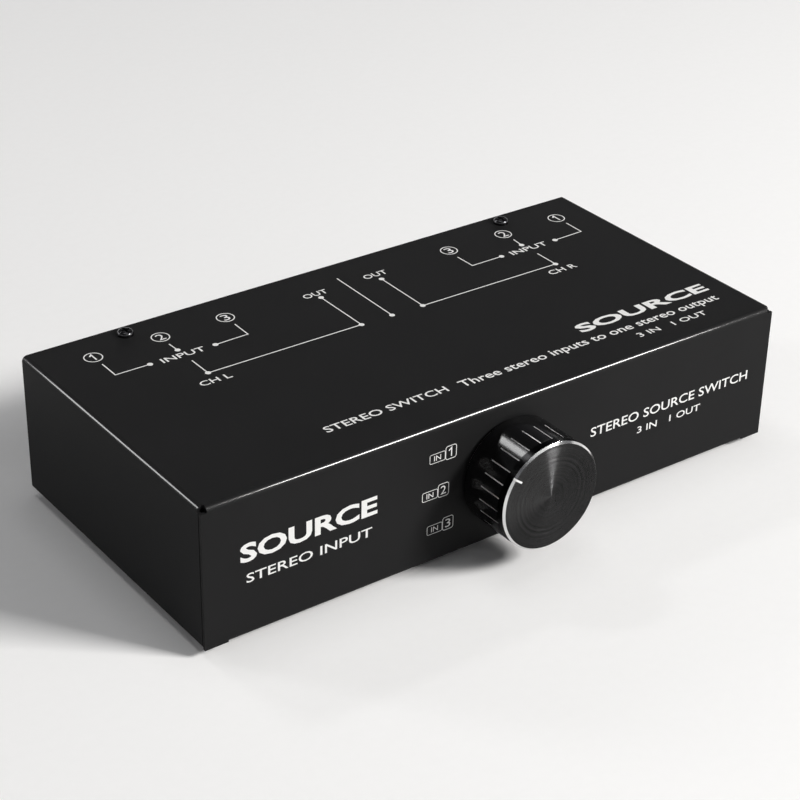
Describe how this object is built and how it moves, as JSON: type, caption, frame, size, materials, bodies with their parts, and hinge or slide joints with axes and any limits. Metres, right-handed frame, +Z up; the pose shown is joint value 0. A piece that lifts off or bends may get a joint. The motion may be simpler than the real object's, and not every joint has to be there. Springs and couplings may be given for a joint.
{
  "type": "audio source selector",
  "caption": "Flat black steel box with a large fluted rotary selector knob on the front and a row of balanced line sockets along the rear.",
  "frame": {"origin": "on the ground under the middle of the whole outline, knob and sockets included", "axes": "+X to the right along the front panel, +Y to the rear, +Z up; the knob faces -Y"},
  "size_m": [0.24, 0.1422, 0.0574],
  "materials": {
    "case_paint": "satin black powder coat",
    "black_screw": "black oxide",
    "foot_rubber": "matt rubber",
    "socket_shell": "satin nickel plate",
    "socket_insert": "moulded",
    "contact_gold": "gold flash",
    "latch_plastic": "moulded",
    "knob_barrel": "black anodised, flutes cut bright",
    "knob_face": "black anodised, spun, rim cut bright",
    "white_enamel": "enamel",
    "switch_plastic": "moulded",
    "contact_tin": "tinned",
    "board": "solder resist",
    "header_plastic": "moulded",
    "cable_jacket": "soft jacket",
    "steel": "zinc plate"
  },
  "bodies": {
    "case": {"base_screws": "black_screw", "base_tray": "case_paint", "cover_screws": "black_screw", "left_flat_cable": "cable_jacket", "left_input_1_contacts": "contact_gold", "left_input_1_insert": "socket_insert", "left_input_1_shell": "socket_shell", "left_input_2_contacts": "contact_gold", "left_input_2_insert": "socket_insert", "left_input_2_shell": "socket_shell", "left_input_3_contacts": "contact_gold", "left_input_3_insert": "socket_insert", "left_input_3_shell": "socket_shell", "left_output_insert": "socket_insert", "left_output_pins": "contact_gold", "left_output_shell": "socket_shell", "lock_washer": "steel", "right_flat_cable": "cable_jacket", "right_input_1_contacts": "contact_gold", "right_input_1_insert": "socket_insert", "right_input_1_shell": "socket_shell", "right_input_2_contacts": "contact_gold", "right_input_2_insert": "socket_insert", "right_input_2_shell": "socket_shell", "right_input_3_contacts": "contact_gold", "right_input_3_insert": "socket_insert", "right_input_3_shell": "socket_shell", "right_output_insert": "socket_insert", "right_output_pins": "contact_gold", "right_output_shell": "socket_shell", "rubber_feet": "foot_rubber", "socket_board": "board", "socket_headers": "header_plastic", "socket_nuts": "steel", "socket_screws": "black_screw", "stop_washer": "steel", "switch_base": "switch_plastic", "switch_board": "board", "switch_body": "switch_plastic", "switch_headers": "header_plastic", "switch_nut": "steel", "switch_pins": "contact_tin", "top_cover": "case_paint"},
    "selector": {"knob_body": "knob_barrel", "knob_cap": "knob_face", "knob_pointer": "white_enamel", "knob_set_screw": "steel", "switch_shaft": "steel", "shaft_clip": "steel", "switch_rotor": "switch_plastic", "index_balls": "steel", "index_springs": "steel", "wiper_contacts": "contact_tin"},
    "left_input_1_latch": {"left_input_1_latch": "latch_plastic"},
    "left_input_2_latch": {"left_input_2_latch": "latch_plastic"},
    "left_input_3_latch": {"left_input_3_latch": "latch_plastic"},
    "right_input_1_latch": {"right_input_1_latch": "latch_plastic"},
    "right_input_2_latch": {"right_input_2_latch": "latch_plastic"},
    "right_input_3_latch": {"right_input_3_latch": "latch_plastic"}
  },
  "joints": [
    {"name": "selector_turn", "type": "hinge", "parent": "case", "child": "selector", "pos_m": [0, -0.0486, 0.02925], "axis": [0, -1, 0], "range_deg": [0, 60]},
    {"name": "left_input_1_press", "type": "slide", "parent": "case", "child": "left_input_1_latch", "axis": [0, -1, 0], "range_m": [0, 0.0015], "stiffness_N_per_m": 600},
    {"name": "left_input_2_press", "type": "slide", "parent": "case", "child": "left_input_2_latch", "axis": [0, -1, 0], "range_m": [0, 0.0015], "stiffness_N_per_m": 600},
    {"name": "left_input_3_press", "type": "slide", "parent": "case", "child": "left_input_3_latch", "axis": [0, -1, 0], "range_m": [0, 0.0015], "stiffness_N_per_m": 600},
    {"name": "right_input_1_press", "type": "slide", "parent": "case", "child": "right_input_1_latch", "axis": [0, -1, 0], "range_m": [0, 0.0015], "stiffness_N_per_m": 600},
    {"name": "right_input_2_press", "type": "slide", "parent": "case", "child": "right_input_2_latch", "axis": [0, -1, 0], "range_m": [0, 0.0015], "stiffness_N_per_m": 600},
    {"name": "right_input_3_press", "type": "slide", "parent": "case", "child": "right_input_3_latch", "axis": [0, -1, 0], "range_m": [0, 0.0015], "stiffness_N_per_m": 600}
  ]
}
